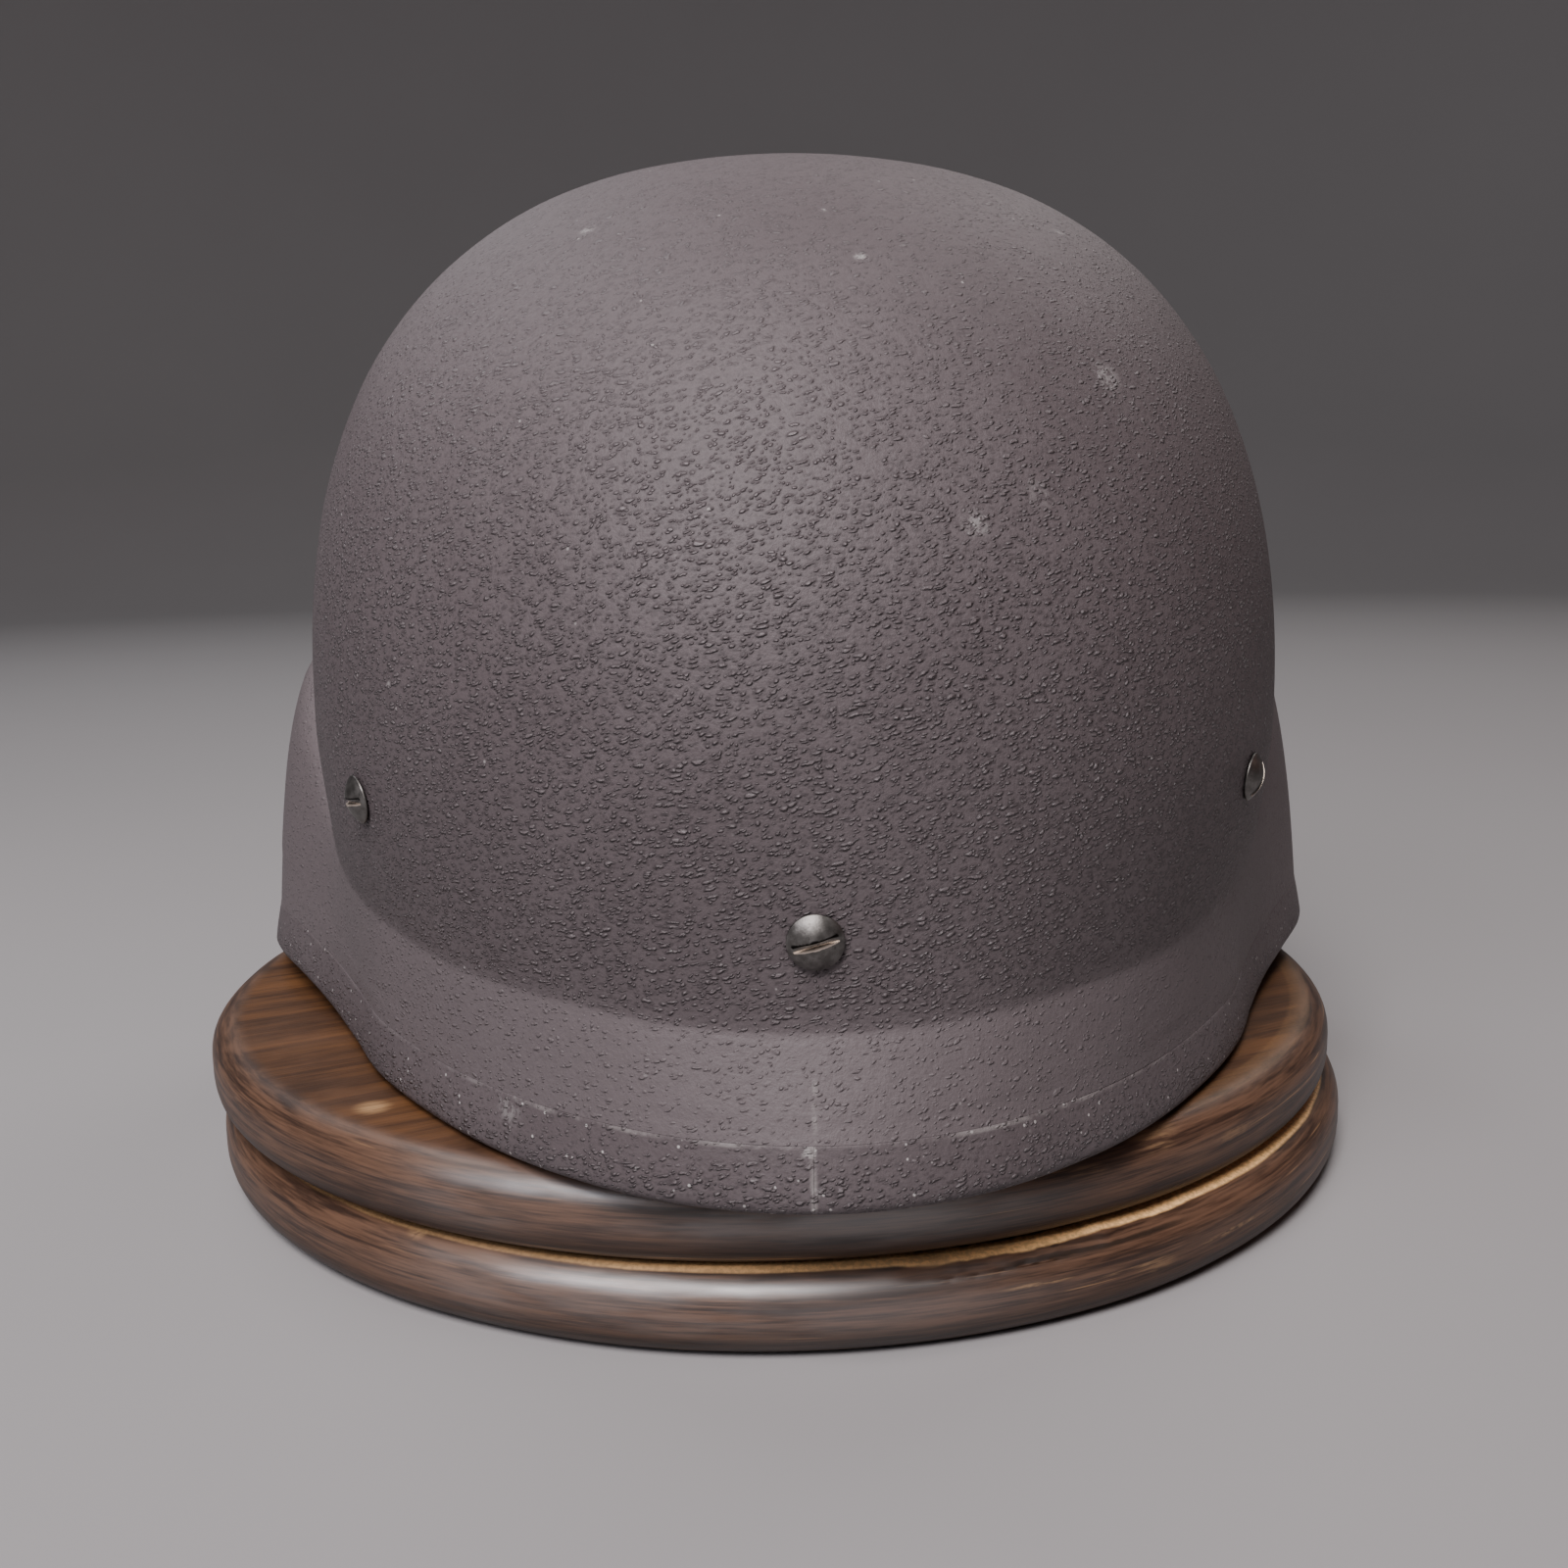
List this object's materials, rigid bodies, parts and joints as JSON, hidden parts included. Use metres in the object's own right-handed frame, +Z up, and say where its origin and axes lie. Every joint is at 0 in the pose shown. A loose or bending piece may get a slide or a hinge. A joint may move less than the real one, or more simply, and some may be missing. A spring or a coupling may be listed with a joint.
{
  "type": "ballistic helmet on a round wooden stand",
  "caption": "Hollow flared ballistic helmet shell with edged rim, ear bulges and slotted screws, standing on a stack of round bullnosed boards.",
  "frame": {"origin": "centre of the stand's underside, on the floor", "axes": "+Z up, +Y towards the helmet's raised brow, -Y towards its nape, +X to the right seen from the nape"},
  "size_m": [0.2608, 0.2788, 0.2093],
  "materials": {
    "paint": "gritty matt paint over moulded aramid",
    "edging": "painted over, gritty matt",
    "steel": "blackened, worn bright at the slot",
    "wood": "dark espresso stain, satin, worn golden at the edges"
  },
  "bodies": {
    "root": {"shell": "paint", "edge_trim": "edging", "board_lower": "wood", "board_upper": "wood", "screw_back": "steel", "nut_back": "steel", "screw_back_left": "steel", "nut_back_left": "steel", "screw_back_right": "steel", "nut_back_right": "steel", "screw_brow_left": "steel", "nut_brow_left": "steel", "screw_brow_right": "steel", "nut_brow_right": "steel"}
  },
  "joints": []
}
